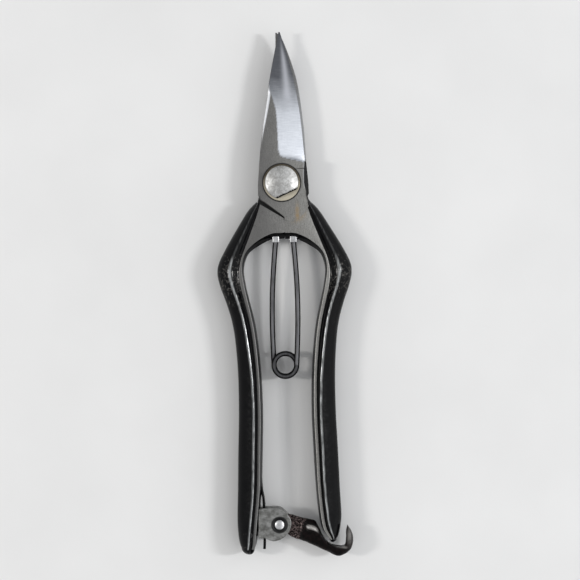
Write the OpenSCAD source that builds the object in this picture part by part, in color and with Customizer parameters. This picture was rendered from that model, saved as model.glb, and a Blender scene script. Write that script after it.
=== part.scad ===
// Floral snips: two forged halves on a bolt, opened by a wire spring and held
// shut by a hook that swings on the left handle.
// The snips lie flat. +Y runs to the blade tips, +Z is up, and the origin is on
// the pivot's axis in the plane that the snips rest on.

/* [Thickness] */
// Full thickness of a handle at its crown
handle_t = 10; // [9:0.5:12]
// Thickness of each flat lap at the pivot
lap_t = 3; // [2.8:0.1:3.2]
// Thickness of a blade at its tip
tip_t = 1.1; // [0.8:0.1:1.6]
// Air between faces that slide on each other
slide_gap = 0.02; // [0.01:0.01:0.05]

/* [Pivot] */
// Radius of the bolt's shank
shank_r = 3; // [2.5:0.1:3.5]
// Radial clearance of the shank in the laps
shank_gap = 0.05; // [0.02:0.01:0.09]
// Radius of the domed bolt head
head_r = 6.2; // [5.5:0.1:6.5]
// Height of the bolt head
head_h = 2.4; // [1.5:0.1:3]
// Distance from the pivot's axis to the flat on the head
head_flat = 4.75; // [4:0.05:5.5]
// Direction of that flat, in degrees from +X
head_flat_dir = -65.8; // [-90:0.2:-30]
// Outer radius of the brass washer under the head
washer_r = 6.85; // [6.5:0.05:7.5]
// Thickness of the brass washer
washer_t = 0.6; // [0.4:0.1:1]
// Thickness of the steel washer under the nut
nut_washer_t = 0.4; // [0.3:0.1:0.6]
// Width of the nut across its flats
nut_af = 10; // [9:0.5:11]

/* [Main spring] */
// Radius of the spring wire
wire_r = 1; // [0.8:0.05:1.1]
// Mean radius of the coil
coil_r = 4.75; // [4:0.05:5.5]
// Distance from the pivot to the coil's centre
coil_y = 68.2; // [64:0.1:70]
// Rise of the wire in each turn
coil_pitch = 2.2; // [2.1:0.05:2.5]

/* [Latch] */
// Radius of the latch rivet's shank
rivet_r = 1.3; // [1:0.1:1.6]
// Thickness of each plate of the bracket
plate_t = 1.4; // [1:0.1:1.6]
// Thickness of the hook's eye and neck
neck_t = 2.9; // [2.5:0.1:3]
// Thickness of the hook's body past its step
hook_t = 5; // [4:0.1:6]
// Radius of the latch spring's wire
latch_wire_r = 0.5; // [0.3:0.05:0.6]

/* [Hidden] */
$fn = 64;
mid = handle_t / 2;
far = 400;
bite = 0.5;
nut_t = mid - lap_t - nut_washer_t;
// Plane on which the two halves stop, and the middle line of the grips.
stop_x = 0.8;
left_stop = stop_x - slide_gap;
grip_x = 0.4;
flat_drop = 0.01;
edge_t = 0.2;

// Stations down a grip from the pivot. Each has an outer edge point, the valley
// between crown and rib, the rib's inner edge, the crown's height above the
// middle plane, and how far the inner wall swells past the rib in X and Y.
grip = [
    [10.1, -7.0, 8.9, -7.8, -0.6, -13.6, 3.3, -0.3, -0.2],
    [13.4, -10.4, 10.2, -12.2, -0.6, -18.3, 4.0, 0, -2.0],
    [18.2, -18.0, 12.3, -18.2, 4.6, -19.0, 4.6, -0.2, -2.0],
    [21.9, -24.3, 14.3, -23.6, 10.2, -21.8, 5, -0.9, -1.5],
    [24.5, -29.5, 16.0, -28.4, 14.5, -26.1, 5, -1.0, -0.5],
    [25.2, -33.5, 16.8, -33.4, 15.9, -32.0, 5, -0.7, 0],
    [24.2, -38.5, 16.4, -38.4, 15.2, -38.0, 5, -0.6, 0],
    [22.0, -44.8, 15.1, -44.2, 14.0, -44.0, 5, -0.7, 0],
    [20.0, -52.0, 13.4, -51.6, 12.4, -51.4, 5, -0.8, 0],
    [18.9, -60.0, 12.2, -59.8, 11.2, -59.7, 5, -0.8, 0],
    [18.2, -72.0, 11.2, -72.0, 10.3, -72.0, 5, -0.9, 0],
    [18.2, -86.0, 11.0, -86.0, 10.0, -86.0, 5, -0.9, 0],
    [18.7, -100.0, 11.4, -100.0, 10.4, -100.0, 5, -0.9, 0],
    [19.1, -114.0, 11.9, -114.0, 10.9, -114.0, 5, -0.8, 0]
];
left_end = [
    [19.5, -125.0, 13.0, -125.2, 12.0, -125.3, 5, -0.8, 0],
    [19.3, -131.0, 13.6, -131.2, 12.6, -131.3, 4.7, -0.7, 0],
    [18.8, -134.6, 13.9, -134.8, 13.0, -134.9, 4.3, -0.5, 0],
    [18.2, -136.4, 14.3, -136.5, 13.4, -136.5, 3.8, -0.3, 0],
    [17.3, -138.5, 15.2, -138.6, 14.6, -138.6, 2.3, -0.2, 0]
];
right_end = [
    [19.5, -124.0, 12.8, -124.2, 11.8, -124.3, 5, -0.8, 0],
    [19.1, -128.6, 13.7, -129.2, 12.7, -129.5, 4.7, -0.6, 0],
    [18.4, -132.0, 15.2, -132.2, 14.3, -132.4, 4.1, -0.4, 0],
    [17.6, -133.5, 15.8, -133.5, 15.1, -133.6, 3.4, -0.3, 0],
    [16.9, -134.6, 16.1, -134.6, 15.7, -134.6, 2.2, -0.2, 0]
];

// Blade edges from the tip to the pivot.
right_spine = [[-0.1, 56.6], [-3.1, 42.4], [-5.7, 27.5], [-7.7, 12.5], [-8.9, -1.0]];
right_edge = [[0.4, 56.6], [4.4, 42.3], [7.1, 27.2], [8.5, 12.2], [8.7, 8.4]];
left_spine = [[-0.9, 56.5], [1.8, 52.6], [6.3, 38.5], [8.5, 22.0], [9.3, 8.4], [10.0, 0]];
left_edge = [[-1.3, 56.4], [-1.4, 50.0], [-2.4, 38.0], [-3.9, 24.0], [-4.9, 12.0]];
bevel_w = [3.6, 6.2, 8.6, 9];

// Places on the two spring seats in the arch, and on the latch.
socket_x = [-2.65, 3.9];
socket_y = -20.4;
socket_w = 2.5;
rivet_at = [-3.35, -127.7];
tang_at = [-14.5, -131.2];
tang_t = 1.6;
tang_l = 10.4;
tang_low = -133.4;
tang_in = 2.2;
tang_rivet_r = 1;
web_x = -10.9;
eye_r = 3.9;
bore_gap = 0.05;

// Plan of the hook: neck, step, hump and the U that holds the right handle.
hook_upper = [[4.2, -125.3], [6.9, -125.9], [9.8, -126.7], [11.3, -129.2], [13.0, -133.0],
    [15.0, -135.2], [17.8, -136.3], [20.6, -136.4], [21.7, -134.0], [21.8, -131.0], [22.2, -128.7]];
hook_lower = [[3.9, -133.6], [9.2, -135.9], [14.0, -138.2], [18.6, -140.1], [22.6, -138.2],
    [24.1, -134.6], [23.6, -131.2], [22.3, -128.8]];
neck_upper = [[-1.0, -124.0], [2.0, -124.5], [8.0, -126.8]];
neck_lower = [[-1.0, -131.2], [2.0, -132.9], [8.0, -135.0]];

// Catmull-Rom point on a list at a whole-plus-fraction place.
function at(list, i) = list[max(0, min(len(list) - 1, i))];
function mix(a, b, c, d, t) =
    0.5 * (2 * b + t * (c - a) + t * t * (2 * a - 5 * b + 4 * c - d)
        + t * t * t * (3 * b - a - 3 * c + d));
function along(list, u) =
    let (i = min(floor(u), len(list) - 2), t = u - i)
    mix(at(list, i - 1), at(list, i), at(list, i + 1), at(list, i + 2), t);
function curve(list, n) = [for (i = [0:(len(list) - 1) * n]) along(list, i / n)];
function backward(list) = [for (i = [len(list) - 1:-1:0]) list[i]];
function unit(v) = v / norm(v);

// One ring of a grip: a broad crown, a valley, a flat rib and a swollen wall.
function ring(s, side) =
    let (
        o = [side * s[0] + grip_x, s[1]],
        p = [side * s[2] + grip_x, s[3]],
        e = [side * s[4] + grip_x, s[5]],
        h = s[6],
        rib = min(lap_t - flat_drop, 0.75 * h),
        w = e + [side * s[7], s[8]],
        half = [
            [w, 0.3 * rib], [e, rib], [p, rib], [p + 0.06 * (o - p), rib + 0.12 * (h - rib)],
            [p + 0.22 * (o - p), 0.94 * h], [p + 0.32 * (o - p), h], [p + 0.5 * (o - p), 0.95 * h],
            [p + 0.72 * (o - p), 0.78 * h], [p + 0.9 * (o - p), 0.5 * h], [o, 0.16 * h]
        ],
        n = len(half),
        top = [for (q = half) [q[0][0], q[0][1], mid + q[1]]],
        low = [for (i = [n - 1:-1:0]) [half[i][0][0], half[i][0][1], mid - half[i][1]]]
    )
    concat(top, low);

// A closed skin over rings that all have the same count of points.
module skin(rings, turn) {
    n = len(rings[0]);
    last = len(rings) - 1;
    sides = [for (i = [0:last - 1]) for (j = [0:n - 1])
        for (f = [[i * n + j, i * n + (j + 1) % n, (i + 1) * n + (j + 1) % n],
                  [i * n + j, (i + 1) * n + (j + 1) % n, (i + 1) * n + j]]) f];
    caps = [[for (j = [n - 1:-1:0]) j], [for (j = [0:n - 1]) last * n + j]];
    faces = concat(sides, caps);
    polyhedron([for (r = rings) for (p = r) p], turn ? [for (f = faces) backward(f)] : faces);
}

// Round wire along a list of points.
module wire(path, r) {
    last = len(path) - 1;
    up = [0, 0, 1];
    skin([for (i = [0:last])
        let (
            d = unit(path[min(i + 1, last)] - path[max(i - 1, 0)]),
            a = unit(cross(up, d)),
            b = cross(d, a)
        )
        [for (k = [0:7]) path[i] + r * (cos(45 * k) * a + sin(45 * k) * b)]], true);
}

module grip_body(side, tail) {
    difference() {
        skin([for (s = curve(concat(grip, tail), 3)) ring(s, side)], side < 0);
        translate([side > 0 ? -far + stop_x : left_stop, -far / 2, -far / 2])
            cube([far, far, far]);
    }
}

// Cuts the outer face of a blade down to a thin tip.
module tip_taper() {
    slope = atan((lap_t - tip_t) / 46);
    translate([-far / 2, 10, mid + lap_t])
        rotate([-slope, 0, 0])
            cube([far, far, far]);
}

// Cuts the ground bevel along a cutting edge, from the edge at the lap's inner
// face up to a line on the outer face. Each stretch has its own width.
module bevel(edge, widths) {
    for (i = [0:len(edge) - 2])
        let (run = edge[i] - edge[i + 1])
        translate([edge[i + 1][0], edge[i + 1][1], mid + edge_t])
            rotate([0, 0, atan2(run[1], run[0])])
                rotate([atan2(lap_t - edge_t, widths[i]), 0, 0])
                    translate([-bite, -4, 0])
                        cube([norm(run) + 2 * bite, 4 + 2 * widths[i], lap_t + 2]);
}

module lap(outline) {
    translate([0, 0, mid + slide_gap / 2])
        linear_extrude(lap_t - slide_gap / 2)
            polygon(outline);
}

module pivot_bore() {
    translate([0, 0, -1])
        cylinder(r = shank_r + shank_gap, h = handle_t + 2);
}

module socket_hole(x) {
    translate([x - socket_w / 2, socket_y - socket_w / 2 - 3, mid - socket_w / 2])
        cube([socket_w, socket_w + 3, socket_w]);
}

module upper_lap() {
    difference() {
        lap(concat(
            curve(right_spine, 4),
            [[-8.9, -4.6], [-8.4, -6.1], [-7.1, -7.0], [-0.1, -12.2], [stop_x, -12.9],
             [stop_x, -14], [4, -15], [10.2, -10], [10.6, -7.4], [9.9, -6.4], [9.2, -3.6],
             [8.5, -1.6], [8.3, 0], [8.4, 6.5]],
            backward(curve(right_edge, 4))));
        tip_taper();
        bevel(right_edge, bevel_w);
    }
}

module lower_lap() {
    mirror([0, 0, 1])
        translate([0, 0, -2 * mid])
            difference() {
                lap(concat(
                    curve(left_spine, 4),
                    [[10.1, -4.0], [9.4, -5.4], [7.6, -6.8], [1.7, -12.1], [left_stop, -12.9],
                     [left_stop, -14], [-4, -15], [-9.4, -10], [-9.2, -6.6], [-8.4, -4],
                     [-8.2, 6.5], [-5.3, 8.4]],
                    backward(curve(left_edge, 4))));
                tip_taper();
                bevel(backward(left_edge), backward(bevel_w));
            }
}

module right_half() {
    color([0.2, 0.2, 0.22])
        difference() {
            union() {
                upper_lap();
                grip_body(1, right_end);
            }
            pivot_bore();
            socket_hole(socket_x[1]);
        }
}

module left_half() {
    color([0.16, 0.16, 0.18])
        difference() {
            union() {
                lower_lap();
                grip_body(-1, left_end);
            }
            pivot_bore();
            socket_hole(socket_x[0]);
            bracket_slot();
            tang_hole();
        }
}

module pivot_bolt() {
    rim = 0.9;
    dome = head_h - rim;
    dome_r = (head_r * head_r + dome * dome) / (2 * dome);
    base = mid + lap_t + washer_t;
    color([0.72, 0.72, 0.72]) {
        cylinder(r = shank_r, h = base + 0.2);
        difference() {
            translate([0, 0, base])
                intersection() {
                    cylinder(r = head_r, h = head_h);
                    translate([0, 0, head_h - dome_r])
                        sphere(r = dome_r);
                }
            rotate([0, 0, head_flat_dir])
                translate([head_flat, -far / 2, base + 0.4])
                    cube([far, far, far]);
        }
    }
}

module flat_ring(z, r_in, r_out, h) {
    translate([0, 0, z])
        difference() {
            cylinder(r = r_out, h = h);
            translate([0, 0, -1])
                cylinder(r = r_in, h = h + 2);
        }
}

module pivot_washer() {
    color([0.8, 0.72, 0.5])
        flat_ring(mid + lap_t, shank_r + 0.1, washer_r, washer_t);
}

module nut_washer() {
    color([0.6, 0.6, 0.6])
        flat_ring(nut_t, shank_r + 0.1, nut_af / 2 + 1, nut_washer_t);
}

module pivot_nut() {
    color([0.6, 0.6, 0.62])
        difference() {
            cylinder(r = nut_af / 2 / cos(30), h = nut_t, $fn = 6);
            translate([0, 0, -1])
                cylinder(r = shank_r, h = nut_t + 2);
        }
}

// One leg, one and a half turns, and the other leg.
module main_spring() {
    steps = 16;
    turns = 1.5;
    top_z = mid + coil_pitch * turns / 2;
    leg_top = socket_y - 0.6;
    right_leg = [for (t = [0:0.1:0.95])
        let (bow = 1.0 * sin(180 * t))
        [socket_x[1] + (coil_r - socket_x[1]) * t + bow, leg_top - (coil_y + leg_top) * t,
         mid + (top_z - mid) * t]];
    coil = [for (i = [0:steps * turns])
        let (a = -360 * i / steps)
        [coil_r * cos(a), coil_r * sin(a) - coil_y, top_z - coil_pitch * i / steps]];
    left_leg = [for (t = [0.95:-0.1:0])
        let (bow = 1.0 * sin(180 * t))
        [socket_x[0] + (-coil_r - socket_x[0]) * t - bow, leg_top - (coil_y + leg_top) * t,
         mid - (top_z - mid) * t]];
    color([0.12, 0.12, 0.13])
        wire(concat(right_leg, coil, left_leg), wire_r);
}

// A square sleeve set in the arch, with a round seat for the end of a leg.
module spring_socket(x) {
    color([0.75, 0.75, 0.76])
        difference() {
            translate([x - socket_w / 2, socket_y - socket_w / 2 - 0.6, mid - socket_w / 2])
                cube([socket_w, socket_w + 0.6, socket_w]);
            translate([x, socket_y - 0.5, mid])
                rotate([90, 0, 0])
                    cylinder(r = wire_r + 0.1, h = far, $fn = 32);
        }
}

module left_spring_socket() {
    spring_socket(socket_x[0]);
}

module right_spring_socket() {
    spring_socket(socket_x[1]);
}

// The bracket's tang, or with a width past the wall, the slot that it fits.
module tang(w) {
    translate([tang_at[0] - tang_in, tang_low, mid - tang_t / 2])
        cube([w, tang_l, tang_t]);
}

module bracket_slot() {
    tang(6);
}

module tang_hole() {
    translate([tang_at[0], tang_at[1], -1])
        cylinder(r = tang_rivet_r, h = handle_t + 2, $fn = 32);
}

module bracket_plate(z) {
    nose = [[-8.4, -121.4], [-3.0, -121.6], [0.5, -125.0], [0.9, -128.4], [-1.4, -132.2],
        [-5.5, -133.8], [-8.9, -132.6]];
    translate([0, 0, z])
        linear_extrude(plate_t)
            polygon(concat([[web_x, -121.7]], curve(nose, 4), [[web_x, -132.6]]));
}

module latch_bracket() {
    side_h = neck_t / 2 + 0.15;
    color([0.5, 0.5, 0.5])
        difference() {
            union() {
                bracket_plate(mid + side_h);
                bracket_plate(mid - side_h - plate_t);
                translate([web_x, -132.6, mid - side_h - bite])
                    cube([2.2, 10.9, 2 * side_h + 2 * bite]);
                tang(web_x + 2 - tang_at[0] + tang_in);
            }
            translate([rivet_at[0], rivet_at[1], -1])
                cylinder(r = rivet_r, h = handle_t + 2);
            translate([rivet_at[0], rivet_at[1], mid + side_h + plate_t - 0.5])
                cylinder(r = 3.05, h = 2);
            tang_hole();
            translate([-9.0, -115, mid])
                rotate([90, 0, 0])
                    cylinder(r = latch_wire_r + 0.15, h = 40, $fn = 24);
        }
}

module bracket_rivet() {
    color([0.15, 0.15, 0.16])
        translate([tang_at[0], tang_at[1], mid - 4.3])
            cylinder(r = tang_rivet_r, h = 8.6, $fn = 32);
}

module latch_rivet() {
    seat = mid + neck_t / 2 + 0.15 + plate_t;
    foot = 2 * mid - seat;
    color([0.75, 0.75, 0.76])
        translate([rivet_at[0], rivet_at[1], 0]) {
            translate([0, 0, foot - 0.6])
                cylinder(r = rivet_r, h = seat - foot + 0.7);
            translate([0, 0, seat - 0.5])
                cylinder(r1 = 1.9, r2 = 1.5, h = 0.9);
            translate([0, 0, foot - 0.8])
                cylinder(r = 2, h = 0.8);
        }
}

module latch_hook() {
    color([0.2, 0.12, 0.1])
        difference() {
            union() {
                translate([rivet_at[0], rivet_at[1], mid - neck_t / 2])
                    cylinder(r = eye_r, h = neck_t);
                translate([0, 0, mid - neck_t / 2])
                    linear_extrude(neck_t)
                        polygon(concat(curve(neck_upper, 3), backward(curve(neck_lower, 3))));
                translate([0, 0, mid - hook_t / 2])
                    linear_extrude(hook_t)
                        polygon(concat(curve(hook_upper, 4), backward(curve(hook_lower, 4))));
            }
            translate([rivet_at[0], rivet_at[1], -1])
                cylinder(r = rivet_r + bore_gap, h = handle_t + 2);
        }
}

// Wire that lies along the handle, leaves it and presses through the bracket.
module latch_spring() {
    route = [[-10.4, -90, mid], [-9.6, -92, mid], [-9.6, -98, mid], [-9.9, -104, mid],
        [-10.0, -109, mid], [-9.8, -114, mid], [-9.2, -118, mid], [-9.0, -122, mid],
        [-9.0, -132, mid], [-9.2, -137, mid]];
    color([0.25, 0.25, 0.26])
        wire(curve(route, 3), latch_wire_r);
}

left_half();
right_half();
pivot_bolt();
pivot_washer();
nut_washer();
pivot_nut();
main_spring();
left_spring_socket();
right_spring_socket();
latch_bracket();
bracket_rivet();
latch_rivet();
latch_hook();
latch_spring();
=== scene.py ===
# Looks for the floral snips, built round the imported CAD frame. Shapes are worked
# out in millimetres in the frame's own axes, and every mesh is stored in metres.
import math

import bmesh
import bpy
import numpy as np
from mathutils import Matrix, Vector, noise


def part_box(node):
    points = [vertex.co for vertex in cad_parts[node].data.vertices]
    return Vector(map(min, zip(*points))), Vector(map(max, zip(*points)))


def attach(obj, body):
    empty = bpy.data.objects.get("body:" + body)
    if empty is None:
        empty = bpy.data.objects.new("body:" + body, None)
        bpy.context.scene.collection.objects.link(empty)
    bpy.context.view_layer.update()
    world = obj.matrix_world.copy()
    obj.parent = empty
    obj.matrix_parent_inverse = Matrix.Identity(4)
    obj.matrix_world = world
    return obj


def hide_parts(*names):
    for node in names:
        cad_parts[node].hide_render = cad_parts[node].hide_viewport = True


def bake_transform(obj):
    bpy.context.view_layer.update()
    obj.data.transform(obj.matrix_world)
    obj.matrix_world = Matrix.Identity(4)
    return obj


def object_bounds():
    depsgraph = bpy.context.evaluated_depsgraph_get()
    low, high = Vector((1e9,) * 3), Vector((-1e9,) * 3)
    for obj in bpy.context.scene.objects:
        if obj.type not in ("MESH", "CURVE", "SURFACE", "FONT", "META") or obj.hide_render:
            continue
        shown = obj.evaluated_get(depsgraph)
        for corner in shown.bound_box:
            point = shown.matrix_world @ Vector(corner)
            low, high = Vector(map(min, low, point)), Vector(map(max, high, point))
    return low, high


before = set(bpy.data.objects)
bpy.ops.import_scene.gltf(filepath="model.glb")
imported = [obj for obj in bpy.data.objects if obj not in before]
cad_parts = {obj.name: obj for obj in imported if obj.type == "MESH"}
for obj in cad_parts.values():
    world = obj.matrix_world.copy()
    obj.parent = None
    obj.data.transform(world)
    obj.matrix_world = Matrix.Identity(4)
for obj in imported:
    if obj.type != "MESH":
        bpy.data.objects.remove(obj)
cad_lo, cad_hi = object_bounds()
MM = 0.001


def box_mm(node):
    """Lowest and highest corner of a CAD node's box, in millimetres."""
    lo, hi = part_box(node)
    return np.array(lo) / MM, np.array(hi) / MM


# ---------------------------------------------------------------- sizes, in mm
HALF_LO, HALF_HI = box_mm("right_half")
WASHER_LO, WASHER_HI = box_mm("pivot_washer")
BOLT_LO, BOLT_HI = box_mm("pivot_bolt")
NUT_LO, NUT_HI = box_mm("pivot_nut")
NUT_WASHER_LO, NUT_WASHER_HI = box_mm("nut_washer")
SPRING_LO, SPRING_HI = box_mm("main_spring")
RIVET_LO, RIVET_HI = box_mm("latch_rivet")
HOOK_LO, HOOK_HI = box_mm("latch_hook")

MID = (HALF_LO[2] + HALF_HI[2]) / 2      # middle plane, where the laps meet
LAP = WASHER_LO[2] - MID                 # thickness of one lap
TIP = 1.1                                # thickness of a blade at its tip
EDGE = 0.2                               # thickness of a cutting edge
GAP = 0.02                               # air between sliding faces
STOP_X = 0.8                             # plane on which the halves stop
GRIP_X = 0.4                             # middle line of the grips
RIB_DROP = 0.01                          # rib lies this far under the lap
RIVET_AT = (RIVET_LO + RIVET_HI) / 2
WIRE_R = 1.0                             # radius of the main spring's wire
BOW = 0.9                                # how far its bowed legs pass the coil's side
COIL_UP = 5.75                           # coil's centre above the spring's lowest point
COIL_R = (SPRING_HI[0] - SPRING_LO[0]) / 2 - WIRE_R - BOW
COIL_Y = SPRING_LO[1] + COIL_UP

# Stations down a grip from the pivot: outer edge, valley and rib edge points,
# crown height, swell of the inner wall in X and Y, and the ridge's place as a
# share of the way from the valley to the outer edge.
GRIP = [
    (10.1, -7.0, 8.9, -7.8, -0.6, -13.6, 3.3, -0.3, -0.2, 0.42),
    (13.4, -10.4, 10.2, -12.2, -0.6, -18.3, 4.0, 0.0, -2.0, 0.42),
    (18.2, -18.0, 12.3, -18.2, 4.6, -19.0, 4.6, -0.2, -2.0, 0.42),
    (21.9, -24.3, 14.3, -23.6, 10.2, -21.8, 5.0, -0.9, -1.5, 0.43),
    (24.5, -29.5, 16.0, -28.4, 14.5, -26.1, 5.0, -1.0, -0.5, 0.44),
    (25.2, -33.5, 16.8, -33.4, 15.9, -32.0, 5.0, -0.7, 0.0, 0.44),
    (24.2, -38.5, 16.4, -38.4, 15.2, -38.0, 5.0, -0.6, 0.0, 0.40),
    (22.0, -44.8, 15.1, -44.2, 14.0, -44.0, 5.0, -0.7, 0.0, 0.35),
    (20.0, -52.0, 13.4, -51.6, 12.4, -51.4, 5.0, -0.8, 0.0, 0.33),
    (18.9, -60.0, 12.2, -59.8, 11.2, -59.7, 5.0, -0.8, 0.0, 0.31),
    (18.2, -72.0, 11.2, -72.0, 10.3, -72.0, 5.0, -0.9, 0.0, 0.24),
    (18.2, -86.0, 11.0, -86.0, 10.0, -86.0, 5.0, -0.9, 0.0, 0.19),
    (18.7, -100.0, 11.4, -100.0, 10.4, -100.0, 5.0, -0.9, 0.0, 0.18),
    (19.1, -114.0, 11.9, -114.0, 10.9, -114.0, 5.0, -0.8, 0.0, 0.18),
]
LEFT_END = [
    (19.5, -125.0, 13.0, -125.2, 12.0, -125.3, 5.0, -0.8, 0.0, 0.20),
    (19.3, -131.0, 13.6, -131.2, 12.6, -131.3, 4.7, -0.7, 0.0, 0.25),
    (18.8, -134.6, 13.9, -134.8, 13.0, -134.9, 4.3, -0.5, 0.0, 0.30),
    (18.2, -136.4, 14.3, -136.5, 13.4, -136.5, 3.8, -0.3, 0.0, 0.35),
]
RIGHT_END = [
    (19.5, -124.0, 12.8, -124.2, 11.8, -124.3, 5.0, -0.8, 0.0, 0.20),
    (19.1, -128.6, 13.7, -129.2, 12.7, -129.5, 4.7, -0.6, 0.0, 0.25),
    (18.4, -132.0, 15.2, -132.2, 14.3, -132.4, 4.1, -0.4, 0.0, 0.30),
    (17.6, -133.5, 15.8, -133.5, 15.1, -133.6, 3.4, -0.3, 0.0, 0.35),
]

# The crown's outer face, from its ridge to the outer edge: share across and
# share of the crown's height.
BROAD_FACE = [
    (0.0, 0.995), (0.06, 0.985), (0.14, 0.95), (0.28, 0.868), (0.42, 0.775), (0.55, 0.68), (0.66, 0.59),
    (0.76, 0.49), (0.84, 0.39), (0.91, 0.28), (0.96, 0.17), (0.99, 0.08), (1.0, 0.0),
]

# How far each grip's round tail runs past its last station, by side.
TAIL_ROUND = {-1: 2.5, 1: 1.3}

# Blade outlines: the spine and the cutting edge, each from the tip down.
RIGHT_SPINE = [(-0.1, 56.6), (-3.1, 42.4), (-5.7, 27.5), (-7.7, 12.5), (-8.9, -1.0)]
RIGHT_EDGE = [(0.4, 56.6), (4.4, 42.3), (7.1, 27.2), (8.5, 12.2), (8.7, 8.4)]
LEFT_SPINE = [(-0.9, 56.5), (1.8, 52.6), (6.3, 38.5), (8.5, 22.0), (9.3, 8.4), (10.0, 0.0)]
LEFT_EDGE = [(-1.3, 56.4), (-1.4, 50.0), (-2.4, 38.0), (-3.9, 24.0), (-4.9, 12.0)]
# Rows of each lap from its bottom up to the blade: a spine side point and an
# edge side point.
RIGHT_LAP = [
    ((0.82, -12.9), (0.82, -13.9)), ((-0.1, -12.2), (4.0, -14.8)), ((-3.4, -9.8), (8.0, -12.0)),
    ((-7.1, -7.0), (9.9, -9.0)), ((-7.8, -6.6), (10.6, -7.4)), ((-8.4, -6.1), (9.9, -6.4)),
    ((-8.9, -4.6), (9.2, -3.6)), ((-8.9, -2.8), (8.5, -1.6)), ((-8.9, -1.0), (8.3, 0.0)),
    ((-8.4, 5.0), (8.4, 6.2)),
]
LEFT_LAP = [
    ((0.76, -12.9), (0.76, -13.9)), ((1.7, -12.1), (-4.0, -14.8)), ((4.6, -9.6), (-8.0, -12.0)),
    ((7.6, -6.8), (-9.3, -9.0)), ((9.4, -5.4), (-9.1, -6.6)), ((10.1, -4.0), (-8.4, -3.8)),
    ((10.0, 0.0), (-8.3, 0.0)), ((9.5, 6.0), (-8.2, 6.5)),
]
# How far in from the cutting edge the ground bevel reaches, by Y.
BEVEL_REACH = [
    (7.5, 0.0), (8.0, 2.3), (8.7, 5.3), (9.3, 7.8), (10.1, 9.2), (12.3, 9.6), (16.1, 9.4),
    (19.9, 9.2), (23.6, 9.0), (27.4, 8.8), (31.9, 9.3), (34.0, 9.8), (36.0, 10.6), (60.0, 10.6),
]


# ---------------------------------------------------------------- curves
def mix(a, b, c, d, t):
    """Catmull-Rom point between b and c."""
    return 0.5 * (2 * b + t * (c - a) + t * t * (2 * a - 5 * b + 4 * c - d)
                  + t ** 3 * (3 * b - a - 3 * c + d))


def along(points, u):
    """Place on a curve through points, where u counts the points passed."""
    p = np.asarray(points, float)
    i = min(int(u), len(p) - 2)
    around = [p[max(0, min(len(p) - 1, i + k))] for k in (-1, 0, 1, 2)]
    return mix(*around, u - i)


def curve(points, steps):
    """A curve through points, with a number of steps between each two."""
    return [along(points, k / steps) for k in range((len(points) - 1) * steps + 1)]


def at_y(points, y):
    """X of a curve that runs down in Y, at the given Y."""
    c = np.array(curve(points, 24))[::-1]
    return float(np.interp(y, c[:, 1], c[:, 0]))


def smooth(t):
    """Eases from 0 to 1 as t does, held at both ends."""
    t = min(1.0, max(0.0, t))
    return t * t * (3 - 2 * t)


# ---------------------------------------------------------------- meshes
def mesh_piece(name, verts, faces, angle=35.0):
    """A closed mesh from points in millimetres, shaded smooth under an angle."""
    data = bpy.data.meshes.new(name)
    data.from_pydata([tuple(float(c) * MM for c in v) for v in verts], [], [list(f) for f in faces])
    bm = bmesh.new()
    bm.from_mesh(data)
    bmesh.ops.remove_doubles(bm, verts=bm.verts, dist=1e-6)
    bmesh.ops.dissolve_degenerate(bm, edges=bm.edges, dist=1e-7)
    bmesh.ops.recalc_face_normals(bm, faces=bm.faces)
    bm.to_mesh(data)
    bm.free()
    data.shade_smooth()
    data.set_sharp_from_angle(angle=math.radians(angle))
    piece = bpy.data.objects.new(name, data)
    bpy.context.scene.collection.objects.link(piece)
    return piece


def ring_faces(count, n):
    """Four-sided faces between a count of rings that have n points each."""
    faces = []
    for i in range(count - 1):
        for j in range(n):
            k = (j + 1) % n
            faces.append((i * n + j, i * n + k, (i + 1) * n + k, (i + 1) * n + j))
    return faces


def loft(name, rings, angle=35.0, caps=True):
    """A skin over rings, with each end closed to its middle if it has caps."""
    n = len(rings[0])
    verts = [p for ring in rings for p in ring]
    faces = ring_faces(len(rings), n)
    if caps:
        last = (len(rings) - 1) * n
        for base, centre in ((0, np.mean(rings[0], axis=0)), (last, np.mean(rings[-1], axis=0))):
            verts.append(centre)
            tip = len(verts) - 1
            faces += [(base + j, base + (j + 1) % n, tip) for j in range(n)]
    return mesh_piece(name, verts, faces, angle)


def marked_skin(name, rings, marks, labels, angle):
    """A skin over rings with flat ends, and a stored number by label for each point."""
    n = len(rings[0])
    last = (len(rings) - 1) * n
    faces = ring_faces(len(rings), n) + [tuple(range(n)), tuple(last + j for j in range(n))]
    data = bpy.data.meshes.new(name)
    data.from_pydata([tuple(float(c) * MM for c in v) for r in rings for v in r], [], faces)
    for k, label in enumerate(labels):
        data.attributes.new(label, "FLOAT", "POINT").data.foreach_set("value", [m[k] for m in marks])
    bm = bmesh.new()
    bm.from_mesh(data)
    bmesh.ops.remove_doubles(bm, verts=bm.verts, dist=1e-6)
    bmesh.ops.recalc_face_normals(bm, faces=bm.faces)
    bm.to_mesh(data)
    bm.free()
    data.shade_smooth()
    data.set_sharp_from_angle(angle=math.radians(angle))
    piece = bpy.data.objects.new(name, data)
    bpy.context.scene.collection.objects.link(piece)
    return piece


def lathe(name, profile, centre, sides=96, angle=35.0):
    """A turned piece. The profile holds (radius, z) points from axis to axis,
    or a closed run of points for a ring."""
    rings = []
    for k in range(sides + 1):
        a = 2 * math.pi * k / sides
        x, y = math.cos(a), math.sin(a)
        rings.append([(centre[0] + r * x, centre[1] + r * y, z) for r, z in profile])
    return loft(name, rings, angle, caps=False)


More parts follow.
